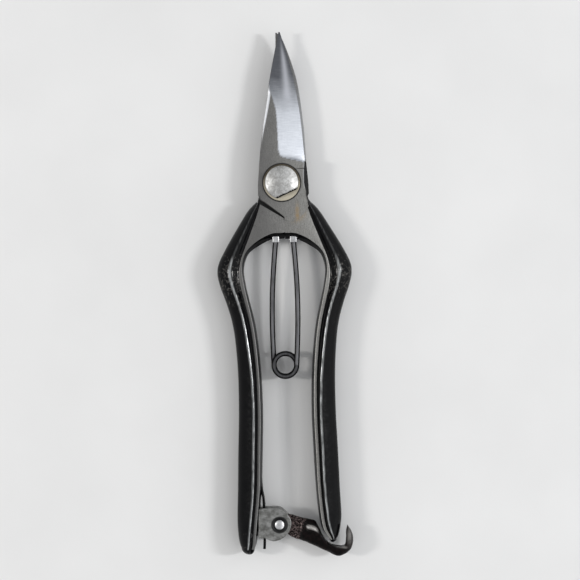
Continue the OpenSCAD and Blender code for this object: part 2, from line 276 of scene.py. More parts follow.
def tube(name, path, radius, sides=20, painted_highlight=1.0):
    """Round wire along a path, with its top tagged for a painted highlight."""
    pts = [np.asarray(p, float) for p in path]
    rings = []
    for i, p in enumerate(pts):
        d = pts[min(i + 1, len(pts) - 1)] - pts[max(i - 1, 0)]
        d /= np.linalg.norm(d)
        a = np.cross((0, 0, 1), d)
        a /= np.linalg.norm(a)
        b = np.cross(d, a)
        turn = [2 * math.pi * k / sides for k in range(sides)]
        rings.append([p + radius * (math.cos(t) * a + math.sin(t) * b) for t in turn])
    piece = loft(name, rings, 60.0)
    spine = np.array(pts)

    # Painted highlight: the top of the round is tagged to be painted grey, as the overhead light's
    # reflection.
    def crest(x, y, z):
        away = ((spine[:, :2] - (x, y)) ** 2).sum(axis=1) + 0.2 * (spine[:, 2] - z) ** 2
        near = spine[np.argmin(away)]
        return painted_highlight * smooth(((z - near[2]) / radius - 0.88) / 0.10)

    tag(piece, "crest", crest)
    return piece


def plate(name, outline, z0, z1, bevel=0.2, segments=3):
    """An outline drawn out between two heights, with softened edges."""
    n = len(outline)
    verts = [(p[0], p[1], z0) for p in outline] + [(p[0], p[1], z1) for p in outline]
    faces = [tuple(reversed(range(n))), tuple(range(n, 2 * n))]
    faces += [(j, (j + 1) % n, n + (j + 1) % n, n + j) for j in range(n)]
    piece = mesh_piece(name, verts, faces)
    soften(piece, bevel, segments)
    return piece


def soften(piece, width, segments=3, angle=30.0):
    """Rounds a piece's sharp edges, with the modifier applied."""
    m = piece.modifiers.new("soften", "BEVEL")
    m.width = width * MM
    m.segments = segments
    m.limit_method = "ANGLE"
    m.angle_limit = math.radians(angle)
    even_out(piece)


def cut(piece, tool):
    """Takes one mesh out of another and drops the tool."""
    m = piece.modifiers.new("cut", "BOOLEAN")
    m.operation = "DIFFERENCE"
    m.solver = "EXACT"
    m.object = tool
    even_out(piece)
    bpy.data.objects.remove(tool)


def even_out(piece):
    """Applies a piece's modifiers with its broad faces shaded flat."""
    apply(piece)
    piece.data.set_sharp_from_angle(angle=math.radians(40))
    m = piece.modifiers.new("even", "WEIGHTED_NORMAL")
    m.keep_sharp = True
    m.weight = 100
    apply(piece)


def apply(piece):
    """Makes a piece's modifiers part of its mesh."""
    bpy.context.view_layer.update()
    graph = bpy.context.evaluated_depsgraph_get()
    done = bpy.data.meshes.new_from_object(piece.evaluated_get(graph))
    piece.modifiers.clear()
    piece.data = done


def roughen(piece, size, depth, seed=0.0):
    """Moves points along their normals by smooth noise, as a forging's skin."""
    for v in piece.data.vertices:
        p = Vector(v.co) / (size * MM)
        v.co += v.normal * depth * MM * noise.fractal(p + Vector((seed, seed, seed)), 1.0, 2.0, 3)


def tag(piece, name, rule):
    """Stores a number for each point, from a rule on its place in millimetres."""
    values = [rule(*(Vector(v.co) / MM)) for v in piece.data.vertices]
    old = piece.data.attributes.get(name)
    if old:
        piece.data.attributes.remove(old)
    piece.data.attributes.new(name, "FLOAT", "POINT").data.foreach_set("value", values)


# ---------------------------------------------------------------- materials
class Paint:
    """A material with short calls for the nodes that the looks are made of."""

    def __init__(self, name):
        self.material = bpy.data.materials.new(name)
        self.material.use_nodes = True
        self.nodes = self.material.node_tree.nodes
        self.links = self.material.node_tree.links
        self.bsdf = self.nodes["Principled BSDF"]
        where = self.nodes.new("ShaderNodeTexCoord")
        scale = self.nodes.new("ShaderNodeMapping")
        scale.inputs["Scale"].default_value = (1 / MM, 1 / MM, 1 / MM)
        self.links.new(where.outputs["Object"], scale.inputs["Vector"])
        self.mm = scale.outputs["Vector"]

    def put(self, value, socket):
        if isinstance(value, (int, float)):
            socket.default_value = value
        elif isinstance(value, tuple):
            socket.default_value = value if len(value) == 4 else (*value, 1.0)
        else:
            self.links.new(value, socket)

    def set(self, **sockets):
        for name, value in sockets.items():
            self.put(value, self.bsdf.inputs[name.replace("_", " ")])

    def stretch(self, factors, turn=0.0):
        node = self.nodes.new("ShaderNodeMapping")
        node.inputs["Scale"].default_value = factors
        node.inputs["Rotation"].default_value = (0, 0, math.radians(turn))
        self.links.new(self.mm, node.inputs["Vector"])
        return node.outputs["Vector"]

    def noise(self, scale, detail=3.0, rough=0.55, at=None, distort=0.0):
        node = self.nodes.new("ShaderNodeTexNoise")
        node.inputs["Scale"].default_value = scale
        node.inputs["Detail"].default_value = detail
        node.inputs["Roughness"].default_value = rough
        node.inputs["Distortion"].default_value = distort
        self.links.new(at or self.mm, node.inputs["Vector"])
        return node.outputs["Fac"]

    def cells(self, scale, at=None):
        node = self.nodes.new("ShaderNodeTexVoronoi")
        node.inputs["Scale"].default_value = scale
        self.links.new(at or self.mm, node.inputs["Vector"])
        return node.outputs["Distance"]

    def ramp(self, fac, low, high, a=0.0, b=1.0):
        """Maps low..high to a..b, held at the ends."""
        node = self.nodes.new("ShaderNodeMapRange")
        node.inputs["From Min"].default_value = low
        node.inputs["From Max"].default_value = high
        node.inputs["To Min"].default_value = a
        node.inputs["To Max"].default_value = b
        self.links.new(fac, node.inputs["Value"])
        return node.outputs["Result"]

    def math(self, how, a, b=0.0):
        node = self.nodes.new("ShaderNodeMath")
        node.operation = how
        self.put(a, node.inputs[0])
        self.put(b, node.inputs[1])
        return node.outputs[0]

    def blend(self, fac, a, b):
        node = self.nodes.new("ShaderNodeMix")
        node.data_type = "RGBA"
        self.put(fac, node.inputs["Factor"])
        self.put(a, node.inputs[6])
        self.put(b, node.inputs[7])
        return node.outputs[2]

    def tagged(self, name):
        node = self.nodes.new("ShaderNodeAttribute")
        node.attribute_name = name
        return node.outputs["Fac"]

    def axis(self, which, at=None):
        node = self.nodes.new("ShaderNodeSeparateXYZ")
        self.links.new(at or self.mm, node.inputs[0])
        return node.outputs[which]

    def distance(self, x, y):
        """Distance in X and Y from a place."""
        east = self.math("POWER", self.math("SUBTRACT", self.axis("X"), x), 2.0)
        north = self.math("POWER", self.math("SUBTRACT", self.axis("Y"), y), 2.0)
        return self.math("SQRT", self.math("ADD", east, north))

    def bump(self, height, depth, strength=1.0, under=None):
        """Depth is in millimetres for a height of one."""
        node = self.nodes.new("ShaderNodeBump")
        node.inputs["Strength"].default_value = strength
        node.inputs["Distance"].default_value = depth * MM
        self.links.new(height, node.inputs["Height"])
        if under is not None:
            self.links.new(under, node.inputs["Normal"])
        return node.outputs["Normal"]


def dull_steel(p):
    """Colour, grain and roughness of the ground flats: grey with painted light that
    makes it lighter to the right, clouded, brushed and specked."""
    cloud = p.noise(0.35, 4.0, 0.6)
    grain = p.noise(3.5, 3.0, 0.6)
    brushed = p.noise(1.0, 3.0, 0.6, p.stretch((5.0, 0.45, 1.0), 38.0))
    speck = p.ramp(p.noise(2.2, 2.0, 0.5), 0.60, 0.72)
    # Painted light: the flats are painted lighter towards +X and darker towards -X, with the cloud
    # noise blurring the change.
    across = p.math("ADD", p.axis("X"), p.math("MULTIPLY", p.math("SUBTRACT", cloud, 0.5), 9.0))
    colour = p.blend(p.ramp(across, -9.0, 9.0), (0.23, 0.225, 0.22), (0.50, 0.49, 0.465))
    colour = p.blend(p.ramp(brushed, 0.35, 0.68, 0.0, 0.5), colour, (0.14, 0.138, 0.135))
    colour = p.blend(p.ramp(grain, 0.35, 0.65, 0.0, 0.55), colour, (0.13, 0.13, 0.127))
    colour = p.blend(p.math("MULTIPLY", speck, 0.45), colour, (0.09, 0.085, 0.08))
    rust = p.math("MULTIPLY", p.tagged("rust"), p.ramp(p.noise(2.6, 3.0, 0.6), 0.35, 0.6))
    colour = p.blend(rust, colour, (0.46, 0.30, 0.12))
    return colour, cloud, p.math("ADD", grain, p.math("MULTIPLY", brushed, 0.8))


def ground_steel_look():
    """Blade steel: a dull mottled flat with a painted contact shadow round the washer, a
    polished bevel painted darker to the tip as a reflection and crossed by a painted highlight stripe,
    a chamfer painted bright as a highlight, and oxidised black with painted shade down the spine's
    side, all where tagged."""
    p = Paint("ground_steel")
    polish, chamfer, oxide_and_shade = p.tagged("polish"), p.tagged("chamfer"), p.tagged("oxide_and_shade")
    flat, cloud, grain = dull_steel(p)
    lines = p.noise(1.0, 3.0, 0.6, p.stretch((0.30, 7.0, 0.30), 8.0))
    shine = p.blend(p.ramp(lines, 0.35, 0.65), (0.50, 0.52, 0.56), (0.64, 0.66, 0.70))
    # Painted reflection: the polished bevel is painted darker from Y 26 to 40 towards the tip, as the
    # dark reflection it shows there.
    along_blade = p.math("ADD", p.axis("Y"), p.math("MULTIPLY", p.math("SUBTRACT", cloud, 0.5), 5.0))
    dim = p.blend(p.ramp(lines, 0.3, 0.7), (0.11, 0.115, 0.13), (0.18, 0.185, 0.20))
    shine = p.blend(p.ramp(along_blade, 26.0, 40.0), shine, dim)
    # Painted highlight: a bright stripe along the bevel near the tip, where tagged.
    shine = p.blend(p.tagged("stripe"), shine, (0.66, 0.67, 0.72))
    # Painted highlight: where tagged on the chamfer and the upper lap's rim, the steel is painted near
    # white.
    colour = p.blend(chamfer, p.blend(polish, flat, shine), (0.74, 0.75, 0.78))
    # Painted shadow: a dark ring on the flat just round the washer, where its contact shadow falls.
    away = p.distance(0.0, 0.0)
    ring = p.math("MULTIPLY", p.ramp(away, 6.75, 6.82), p.ramp(away, 7.22, 7.45, 1.0, 0.0))
    oxide_and_washer_shadow = p.math("MAXIMUM", oxide_and_shade, ring)
    p.set(Base_Color=p.blend(oxide_and_washer_shadow, colour, (0.010, 0.009, 0.009)))
    p.set(Metallic=p.ramp(oxide_and_washer_shadow, 0.0, 1.0, 1.0, 0.1))
    dull = p.ramp(grain, 0.5, 1.3, 0.42, 0.56)
    p.set(Roughness=p.math("SUBTRACT", dull, p.math("MULTIPLY", polish, 0.16)))
    first = p.bump(grain, 0.018)
    p.set(Normal=p.bump(lines, 0.008, under=first))
    return p.material


def grip_look():
    """Gloss black lacquer, scuffed at the bends, with a painted highlight along its ridge,
    round a ground steel flat and rib."""
    p = Paint("grip_lacquer")
    bare, wear, ridge = p.tagged("bare"), p.tagged("wear"), p.tagged("ridge")
    steel, cloud, grain = dull_steel(p)
    chips = p.noise(0.8, 6.0, 0.68, distort=0.9)
    streaks = p.noise(1.0, 4.0, 0.6, p.stretch((1.8, 0.22, 1.8)))
    lacquer = p.blend(p.ramp(cloud, 0.35, 0.65), (0.0012, 0.0012, 0.0016), (0.0030, 0.0030, 0.0034))
    worn = p.ramp(p.math("ADD", p.math("MULTIPLY", wear, 0.24), chips), 0.77, 0.83)
    lacquer = p.blend(p.math("MULTIPLY", worn, 0.7), lacquer, (0.10, 0.095, 0.088))
    # Painted highlight: a bright metal streak along the crown's ridge, where the overhead light
    # reflects.
    painted_highlight = p.math("MULTIPLY", ridge, p.ramp(streaks, 0.36, 0.60, 0.25, 1.0))
    lacquer = p.blend(painted_highlight, lacquer, (0.62, 0.63, 0.63))
    ragged = p.math("MULTIPLY", p.math("SUBTRACT", chips, 0.5), 0.5)
    edge = p.ramp(p.math("ADD", bare, ragged), 0.42, 0.58)
    p.set(Base_Color=p.blend(edge, lacquer, steel))
    metal = p.math("MAXIMUM", painted_highlight, p.math("MULTIPLY", worn, 0.5))
    p.set(Metallic=p.math("MAXIMUM", edge, metal), Specular_IOR_Level=0.09)
    gloss = p.ramp(p.noise(0.8, 3.0, 0.6), 0.3, 0.7, 0.10, 0.20)
    gloss = p.math("ADD", gloss, p.math("MULTIPLY", metal, 0.2))
    dull = p.ramp(grain, 0.5, 1.3, 0.42, 0.56)
    flat_gloss = p.math("MULTIPLY", p.math("SUBTRACT", dull, gloss), edge)
    p.set(Roughness=p.math("ADD", gloss, flat_gloss))
    first = p.bump(p.noise(0.5, 2.0, 0.5), 0.03)
    p.set(Normal=p.bump(grain, 0.008, under=first))
    return p.material


def bolt_look():
    """A dull polished dome, faintly hammered, with curved scratches, stains and a painted shadow line
    along its filed flat.
    """
    p = Paint("bolt_steel")
    dents = p.noise(0.30, 2.0, 0.5, distort=0.6)
    stain = p.noise(0.55, 5.0, 0.65, distort=0.5)
    fine = p.noise(1.0, 4.0, 0.65, p.stretch((5.0, 0.7, 1.0), -25.0))
    colour = p.blend(p.ramp(stain, 0.38, 0.62), (0.68, 0.68, 0.67), (0.38, 0.375, 0.365))
    colour = p.blend(p.ramp(fine, 0.45, 0.75, 0.0, 0.5), colour, (0.30, 0.295, 0.29))
    # Painted shadow: a near-black line painted along the filed flat's edge.
    colour = p.blend(p.tagged("cut"), colour, (0.02, 0.018, 0.016))
    p.set(Base_Color=colour, Metallic=1.0, Roughness=p.ramp(stain, 0.3, 0.7, 0.46, 0.58))
    first = p.bump(dents, 0.16)
    p.set(Normal=p.bump(fine, 0.012, under=first))
    return p.material


def washer_look():
    """Brass, cream low in Y and darker high in Y, the dark partly tarnish and partly painted shade
    beside the head.
    """
    p = Paint("washer_brass")
    cloud = p.noise(0.6, 4.0, 0.6)
    # Partly painted shade: the brass is painted darker towards +Y, tarnish and the shade beside the
    # head together.
    height = p.math("ADD", p.axis("Y"), p.math("MULTIPLY", cloud, 4.0))
    colour = p.blend(p.ramp(height, -3.5, 4.5), (0.60, 0.55, 0.44), (0.10, 0.085, 0.06))
    p.set(Base_Color=colour, Metallic=0.85, Roughness=p.ramp(cloud, 0.3, 0.7, 0.42, 0.56))
    p.set(Normal=p.bump(p.noise(4.0, 3.0, 0.6), 0.01))
    return p.material


def wire_look():
    """Blackened wire with a painted grey highlight along the top of its round."""
    p = Paint("spring_black")
    streak = p.noise(1.2, 4.0, 0.6, p.stretch((1.0, 0.12, 1.0)))
    # Painted highlight: grey metal painted along the crest where tagged.
    highlight_mask = p.math("MULTIPLY", p.tagged("crest"), p.ramp(streak, 0.32, 0.62, 0.45, 0.9))
    p.set(Base_Color=p.blend(highlight_mask, (0.0015, 0.0015, 0.002), (0.24, 0.24, 0.25)))
    p.set(Metallic=p.ramp(highlight_mask, 0.0, 1.0, 0.0, 0.9), Roughness=p.ramp(streak, 0.3, 0.7, 0.26, 0.38))
    p.set(Normal=p.bump(p.noise(5.0, 3.0, 0.6), 0.008), Specular_IOR_Level=0.12)
    return p.material


def bracket_look():
    """Dull grey plate, brushed, with painted shade in the hollow round the rivet."""
    p = Paint("bracket_steel")
    cloud = p.noise(0.5, 4.0, 0.6)
    brushed = p.noise(1.0, 3.0, 0.6, p.stretch((0.4, 4.0, 1.0), 12.0))
    colour = p.blend(p.ramp(cloud, 0.35, 0.65), (0.17, 0.17, 0.16), (0.40, 0.40, 0.39))
    colour = p.blend(p.ramp(brushed, 0.42, 0.70, 0.0, 0.6), colour, (0.13, 0.13, 0.125))
    # Painted shade: near black in the ring of the recess round the rivet, where its wall is in shadow.
    recess_shade = p.ramp(p.distance(float(RIVET_AT[0]), float(RIVET_AT[1])), 3.0, 3.35, 1.0, 0.0)
    p.set(Base_Color=p.blend(recess_shade, colour, (0.006, 0.006, 0.006)))
    p.set(Metallic=p.ramp(recess_shade, 0.0, 1.0, 1.0, 0.1))
    p.set(Roughness=p.ramp(cloud, 0.3, 0.7, 0.38, 0.52))
    p.set(Normal=p.bump(brushed, 0.02))
    return p.material


def plain_metal_look(name, dark, light, rough, dent=0.02, scale=1.2, shine=1.0):
    """A metal with clouded colour, a soft change of gloss and fine dents."""
    p = Paint(name)
    cloud = p.noise(scale, 4.0, 0.6)
    fine = p.noise(scale * 4, 3.0, 0.6)
    p.set(Base_Color=p.blend(p.ramp(cloud, 0.35, 0.65), dark, light), Metallic=shine)
    p.set(Roughness=p.ramp(fine, 0.3, 0.7, rough * 0.8, rough * 1.25))
    first = p.bump(cloud, dent)
    p.set(Normal=p.bump(fine, dent * 0.3, under=first))
    return p.material


def hook_look():
    """Black-brown forge scale, flaked bare on the neck, with painted highlights on the hump, the U and
    the pocket's rim, and a painted shadow line at the step.
    """
    p = Paint("hook_iron")
    worn, highlight_mask, step_shadow = p.tagged("worn"), p.tagged("highlight_mask"), p.tagged("step_shadow")
    cloud = p.noise(0.7, 5.0, 0.65, distort=0.3)
    scale = p.cells(1.1)
    flake = p.noise(1.5, 5.0, 0.7, distort=1.2)
    dark = p.blend(p.ramp(cloud, 0.40, 0.62), (0.0008, 0.0006, 0.0006), (0.006, 0.003, 0.003))
    bared = p.math("MULTIPLY", p.ramp(flake, 0.50, 0.56), worn)
    colour = p.blend(bared, dark, (0.17, 0.13, 0.125))
    # Painted highlight: near-white metal where tagged on the hump, the U and the pocket's rim.
    shine = p.math("MULTIPLY", highlight_mask, p.ramp(flake, 0.30, 0.46))
    colour = p.blend(shine, colour, (0.72, 0.69, 0.66))
    # Painted shadow: near black along the step between neck and body.
    p.set(Base_Color=p.blend(step_shadow, colour, (0.001, 0.001, 0.001)))
    p.set(Metallic=p.math("MAXIMUM", shine, p.math("MULTIPLY", bared, 0.6)), Specular_IOR_Level=0.10)
    p.set(Roughness=p.ramp(cloud, 0.3, 0.7, 0.28, 0.42))
    first = p.bump(scale, 0.05)
    p.set(Normal=p.bump(flake, 0.07, under=first))
    return p.material


def floor_look():
    """Pale matt paper, very faintly clouded."""
    p = Paint("paper_floor")
    cloud = p.noise(0.02, 3.0, 0.5)
    p.set(Base_Color=p.blend(p.ramp(cloud, 0.3, 0.7), (0.72, 0.715, 0.71), (0.76, 0.755, 0.75)))
    p.set(Roughness=0.8)
    p.set(Normal=p.bump(p.noise(1.5, 3.0, 0.6), 0.02))
    return p.material


LOOKS = {
    "blade": ground_steel_look(),
    "grip": grip_look(),
    "bolt": bolt_look(),
    "washer": washer_look(),
    "nut": plain_metal_look("nut_steel", (0.30, 0.30, 0.30), (0.46, 0.46, 0.46), 0.38),
    "spring": wire_look(),
    "bright": plain_metal_look("bright_steel", (0.58, 0.58, 0.59), (0.80, 0.80, 0.81), 0.34, 0.03, 0.8),
    "bracket": bracket_look(),
    "hook": hook_look(),
    "lacquer": plain_metal_look(
        "rivet_lacquer", (0.004, 0.004, 0.004), (0.010, 0.009, 0.009), 0.2, 0.02, 1.0, 0.0),
}


def finish_piece(piece, look, body, slot, *nodes):
    """Gives a piece its look, the body it rides on and what it replaces. Its slot argument is not used.
    """
    piece.data.materials.clear()
    piece.data.materials.append(LOOKS[look])
    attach(piece, body)
    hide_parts(*nodes)
    return piece


# ---------------------------------------------------------------- camera
def make_camera():
    """Straight down on the snips, which lie a little askew in the picture."""
    skew = math.radians(1.15)
    height = 0.55                        # above the middle plane, in metres
    width = 0.2175                       # of the picture on that plane
    aside, ahead = 0.0019, 0.0016        # from the middle of the snips
    centre = (cad_lo + cad_hi) / 2
    data = bpy.data.cameras.new("camera")
    data.sensor_width = 36.0
    data.lens = data.sensor_width * height / width
    camera = bpy.data.objects.new("camera", data)
    bpy.context.scene.collection.objects.link(camera)
    camera.location = (centre.x + aside, centre.y + ahead, MID * MM + height)
    camera.rotation_euler = (0, 0, -skew)
    bpy.context.scene.camera = camera


# ---------------------------------------------------------------- the halves
def grip_ring(s, side):
    """One section of a grip, from the middle of its inner wall over the crown
    to the outer edge, and back underneath. Returns points and zone marks."""
    o = np.array([side * s[0] + GRIP_X, s[1]])
    p = np.array([side * s[2] + GRIP_X, s[3]])
    e = np.array([side * s[4] + GRIP_X, s[5]])
    swell = np.array([side * s[7], s[8]])
    h, ridge = s[6], s[9]
    rib = min(LAP - RIB_DROP, 0.78 * h)
    out = o - p
    top = []
    for t in (0.0, 0.25, 0.5, 0.72, 0.88, 0.97):
        top.append((e + swell * (1 - t) ** 0.85, t * rib * 0.97, 0.0, 0.0))
    rim = 0.2 * (p - e) / max(0.4, np.linalg.norm(p - e))
    top.append((e + 0.25 * rim, rib - 0.05, 1.0, 0.0))
    for t in (0.0, 0.3, 0.6, 0.95):
        top.append((e + rim + t * (p - e - rim), rib, 1.0, 0.0))
    valley = min(0.4, h - rib + 0.15)
    top.append((p + 0.035 * out, rib - 0.5 * valley, 0.0, 0.0))
    top.append((p + 0.07 * out, rib - 0.3 * valley, 0.0, 0.0))
    rise = h - rib
    # Painted highlight: these points and the broad face's first points carry the ridge mark, which the
    # lacquer paints as a bright streak.
    for t in (0.25, 0.5, 0.75, 0.9):
        lift = rise * 0.97 * math.sin(t * math.pi / 2) ** 1.2
        top.append((p + (0.07 + (ridge - 0.07) * t) * out, rib + lift, 0.0, 0.7 if t == 0.9 else 0.0))
    for g, z in BROAD_FACE:
        top.append((p + (ridge + (1 - ridge) * g) * out, h * z, 0.0, max(0.0, 1.0 - g / 0.1)))
    points = [(q[0][0], q[0][1], MID + q[1]) for q in top]
    marks = [q[2:] for q in top]
    points += [(q[0][0], q[0][1], MID - q[1]) for q in reversed(top[1:-1])]
    marks += [q[2:] for q in reversed(top[1:-1])]
    return points, marks


def rust_streak(x, y, z):
    """A streak of rust down the upper flat, below the bolt."""
    return math.exp(-((x - 5.6) / 0.7) ** 2 - ((y + 12.2) / 3.4) ** 2) if z > MID else 0.0


def make_grip(name, side, tail, body, slot, node):
    """A grip from the lap to its round tail, cut off at the plane where the halves stop."""
    stations = curve(GRIP + tail, 10)
    rings, marks = [], []
    for s in stations:
        ring, mark = grip_ring(s, side)
        rings.append(ring)
        # The painted ridge highlight fades out above the bend.
        below = 0.12 + 0.88 * smooth((-27.0 - s[1]) / 5)
        marks.append([(flat, crest * below) for flat, crest in mark])
    last = np.array(rings[-1])
    end = last.mean(axis=0)
    drift = np.array([0.0, -TAIL_ROUND[side], 0.0])
    cap_rings = 10
    for k in range(1, cap_rings + 1):
        a = k / cap_rings * math.pi / 2
        rings.append(list(end + (last - end) * max(0.02, math.cos(a)) + drift * math.sin(a)))
        marks.append([(0.0, 0.0)] * len(marks[0]))
    limit = STOP_X if side > 0 else STOP_X - GAP
    hold = max if side > 0 else min
    held = [[(hold(q[0], limit), q[1], q[2]) for q in r] for r in rings]
    flat_marks = [m for row in marks for m in row]
    piece = marked_skin(name, held, flat_marks, ("bare", "ridge"), 40)

    def wear(x, y, z):
        bend = math.exp(-((y + 36) / 13) ** 2)
        tail_end = math.exp(-((y + 134) / 7) ** 2)
        return 0.25 + 0.75 * max(bend, 0.5 * tail_end)

    tag(piece, "wear", wear)
    tag(piece, "rust", rust_streak)
    return finish_piece(piece, "grip", body, slot, node)


def blade_rows(lap, spine, edge, step=0.45):
    """Pairs of spine side and edge side points, from the lap up to the tip."""
    lap_step = 0.8
    rows = []
    for (a0, b0), (a1, b1) in zip(lap, lap[1:]):
        gap = max(math.dist(a0, a1), math.dist(b0, b1))
        n = max(1, int(gap / lap_step))
        for k in range(n):
            t = k / n
            rows.append((np.array(a0) + t * (np.array(a1) - np.array(a0)),
                         np.array(b0) + t * (np.array(b1) - np.array(b0))))
    y0, y1 = lap[-1][0][1], min(spine[0][1], edge[0][1])
    n = int((y1 - y0) / step)
    for k in range(n + 1):
        y = y0 + (y1 - y0) * k / n
        heel = edge[-1][1]
        edge_x = at_y(edge, max(y, heel))
        if y < heel:
            t = (heel - y) / (heel - y0)
            edge_x += t * (lap[-1][1][0] - edge_x)
        rows.append((np.array([at_y(spine, y), y]), np.array([edge_x, y])))
    return rows


def black_from(y):
    """X past which the lacquer of the right grip runs up beside the upper lap."""
    return float(np.interp(y, (-14.0, -7.7, -5.1, -2.8, 1.0), (12.0, 9.4, 8.7, 8.7, 8.4)))


def make_blade(name, lap, spine, edge, up, body, slot, node):
    """A lap and its blade: flat inside, and outside a flat face, a chamfer down
    part of the spine and a bevel ground to the cutting edge."""
    reach_y = [r[0] for r in BEVEL_REACH]
    reach_w = [r[1] for r in BEVEL_REACH]
    columns = 48
    covered_y = 8.2                      # below it the inside lies under the other lap
    taper_y, taper_run = 10, 46          # where a blade starts to thin, and over what length
    rings, marks = [], []
    for a, b in blade_rows(lap, spine, edge):
        width = float(np.linalg.norm(b - a))
        run = (b - a) / max(width, 1e-6)
        y = (a[1] + b[1]) / 2
        thick = LAP - (LAP - TIP) * max(0.0, (y - taper_y) / taper_run)
        swell = min((y - 12) / 20, (37 - y) / 4.5) if y > 0 else 0.0
        cham = min(0.16 + 1.05 * smooth(swell), 0.2 * width)
        drop = 0.16 + 0.3 * smooth(swell)
        # Painted highlight: bright sets where the spine's chamfer is painted as a white glint,
        # strongest between Y 12 and 37.
        bright = smooth(1.7 * swell)
        covered = 1.0 if y < covered_y else 0.0
        ring = []

        def add(q, z, polish=0.0, chamfer=0.0, oxide_and_shade=0.0, stripe=0.0):
            ring.append((q[0], q[1], MID + up * max(z, GAP / 2)))
            marks.append((polish, chamfer, oxide_and_shade, stripe))

        add(a, 0.0, polish=0.4, oxide_and_shade=1.0 if up > 0 else covered)
        # Painted shade: the spine's side wall and the middle of its chamfer are painted black wherever
        # the chamfer is not painted bright.
        add(a, max(0.3, thick - drop), oxide_and_shade=1.0 - bright)
        add(a + run * cham * 0.5, thick - drop * 0.45, 0.0, bright, 0.5 * (1 - bright))
        for k in range(columns):
            q = a + run * (cham + (width - cham) * k / (columns - 1))
            far = (width - cham) * (1 - k / (columns - 1))
            w = float(np.interp(q[1], reach_y, reach_w, left=0.0))
            z, polish = thick, 0.0
            if w > 0 and far < w:
                z = EDGE + (thick - EDGE) * far / w
                polish = 1.0
            share = far / width
            # Painted highlight: the stripe tag lays a bright band along the bevel near the tip.
            stripe = 0.8 * math.exp(-((share - 0.32) / 0.15) ** 2)
            stripe *= smooth((y - 27) / 8) * smooth((56 - y) / 10)
            # Painted highlight: the upper lap's right rim is painted as a bright line between Y -3 and
            # 8.2.
            highlit_rim = k == columns - 1 and up > 0 and -3.0 < y < covered_y
            rim = 0.7 if highlit_rim else bright * (k == 0)
            black = smooth((q[0] - black_from(q[1])) / 0.3) if up > 0 and y < 2.0 else 0.0
            if up > 0 and -12.6 < a[1] < -5.0:      # the notch across the laps
                black = max(black, smooth((0.62 - float(np.linalg.norm(q - a))) / 0.2))
            add(q, z, polish, rim, black, stripe)
        add(b, 0.0, polish=0.4, oxide_and_shade=covered)
        rings.append(ring)
    piece = marked_skin(name, rings, marks, ("polish", "chamfer", "oxide_and_shade", "stripe"), 25)
    tag(piece, "rust", rust_streak)
    return finish_piece(piece, "blade", body, slot, node)


# ---------------------------------------------------------------- the pivot
def make_bolt():
    """Domed head with a flat filed on its rim, on a plain shank."""
    base = WASHER_HI[2]
    head_r, flat, lean = 6.2, 4.75, math.radians(-65.8)
    # Painted shadow: dark_in sets how wide the flat's painted shadow line is.
    dark_in = 0.55                       # how far the flat's dark line reaches in
    rim, top = 0.9, BOLT_HI[2]
    dome = top - base - rim
    ball = (head_r ** 2 + dome ** 2) / (2 * dome)
    shank = 3.0
    profile = [(0.0, BOLT_LO[2]), (shank - 0.25, BOLT_LO[2]), (shank, BOLT_LO[2] + 0.25), (shank, base),
               (head_r - 0.2, base), (head_r, base + 0.2), (head_r, base + rim - 0.15),
               (head_r - 0.1, base + rim + 0.02)]
    for k in range(1, 17):
        r = (head_r - 0.15) * (1 - k / 16)
        profile.append((r, top - ball + math.sqrt(ball ** 2 - r ** 2)))
    piece = lathe("pivot_bolt_head", profile, (0, 0), 160)
    along_flat = Vector((math.cos(lean), math.sin(lean), 0))
    for v in piece.data.vertices:
        over = v.co.dot(along_flat) - flat * MM
        if over > 0 and v.co.z > (base - 0.01) * MM:
            v.co -= along_flat * over

    # Painted shadow: the dome next to the filed flat is tagged to be painted near black.
    def flat_shade_line(x, y, z):
        return 1.0 if z > base and Vector((x, y, 0)).dot(along_flat) > flat - dark_in else 0.0

    tag(piece, "cut", flat_shade_line)
    roughen(piece, 3.6, 0.04, 3.0)
    return finish_piece(piece, "bolt", "pivot", "bolt_steel", "pivot_bolt")


def ring_profile(r_in, r_out, z0, z1, c):
    """Closed profile of a washer whose edges are taken off by c."""
    return [(r_in, z0 + c), (r_in + c, z0), (r_out - c, z0), (r_out, z0 + c), (r_out, z1 - c),
            (r_out - c * 0.7, z1 - c * 0.2), (r_out - 1.6 * c, z1), (r_in + c, z1), (r_in, z1 - c),
            (r_in, z0 + c)]


def make_washers():
    """The brass washer under the head and the plain one under the nut."""
    bore, air = 3.1, 0.01
    profile = ring_profile(bore, WASHER_HI[0], WASHER_LO[2] + air, WASHER_HI[2] - air, 0.14)
    top = lathe("pivot_washer_ring", profile, (0, 0))
    finish_piece(top, "washer", "pivot", "washer_brass", "pivot_washer")
    profile = ring_profile(bore, NUT_WASHER_HI[0], NUT_WASHER_LO[2], NUT_WASHER_HI[2], 0.1)
    low = lathe("nut_washer_ring", profile, (0, 0))
    finish_piece(low, "nut", "pivot", "bolt_steel", "nut_washer")


def make_nut():
    """Hexagon nut with a plain hole for the shank."""
    across = (NUT_HI[1] - NUT_LO[1]) / 2
    corner = across / math.cos(math.pi / 6)
    turns = [k * math.pi / 3 for k in range(6)]
    outline = [(corner * math.cos(a), corner * math.sin(a)) for a in turns]
    piece = plate("pivot_nut_hex", outline, NUT_LO[2], NUT_HI[2], 0.25)
    cut(piece, lathe("nut_hole", [(0, -3), (3.02, -3), (3.02, 6), (0, 6)], (0, 0), 64))
    return finish_piece(piece, "nut", "pivot", "bolt_steel", "pivot_nut")


